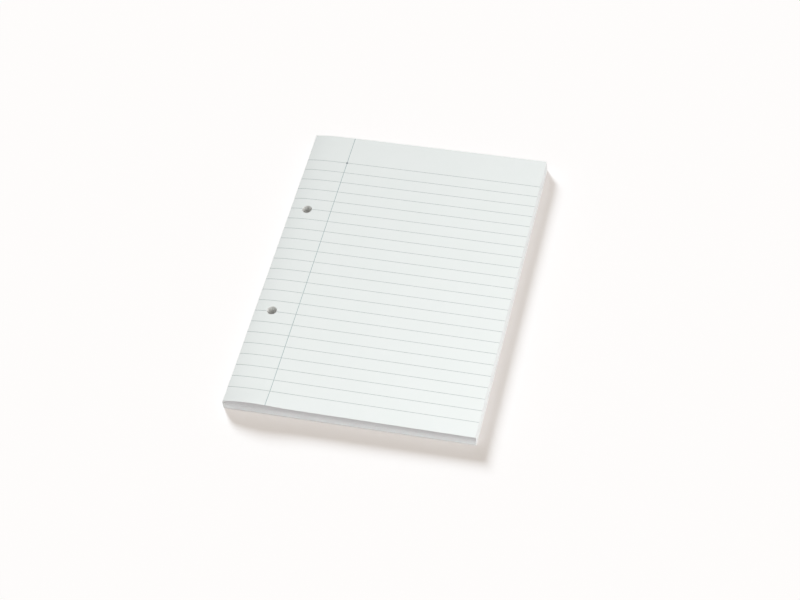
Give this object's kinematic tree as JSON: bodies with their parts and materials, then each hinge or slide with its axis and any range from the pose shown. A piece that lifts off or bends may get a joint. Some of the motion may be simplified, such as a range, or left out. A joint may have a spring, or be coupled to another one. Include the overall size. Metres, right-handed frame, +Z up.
{
  "type": "ruled refill pad",
  "caption": "Pad of ruled writing paper glued along one long edge on a backing board, with two file holes drilled through leaves and board.",
  "frame": {"origin": "middle of the pad's underside, on the surface that it lies on", "axes": "+Z up through the leaves, +X from the glued spine to the fore edge, +Y from the foot of the sheet to its head"},
  "size_m": [0.1484, 0.21, 0.0093],
  "materials": {
    "writing_paper": "uncoated, matte",
    "grey_board": "bare pulp board, matte",
    "padding_glue": "dried white glue, satin",
    "feint_ink": "printed ink, matte",
    "margin_ink": "printed ink, matte"
  },
  "bodies": {
    "root": {"paper_block": "writing_paper", "backing_board": "grey_board", "spine_glue": "padding_glue", "feint_ruling": "feint_ink", "margin_line": "margin_ink"}
  },
  "joints": []
}
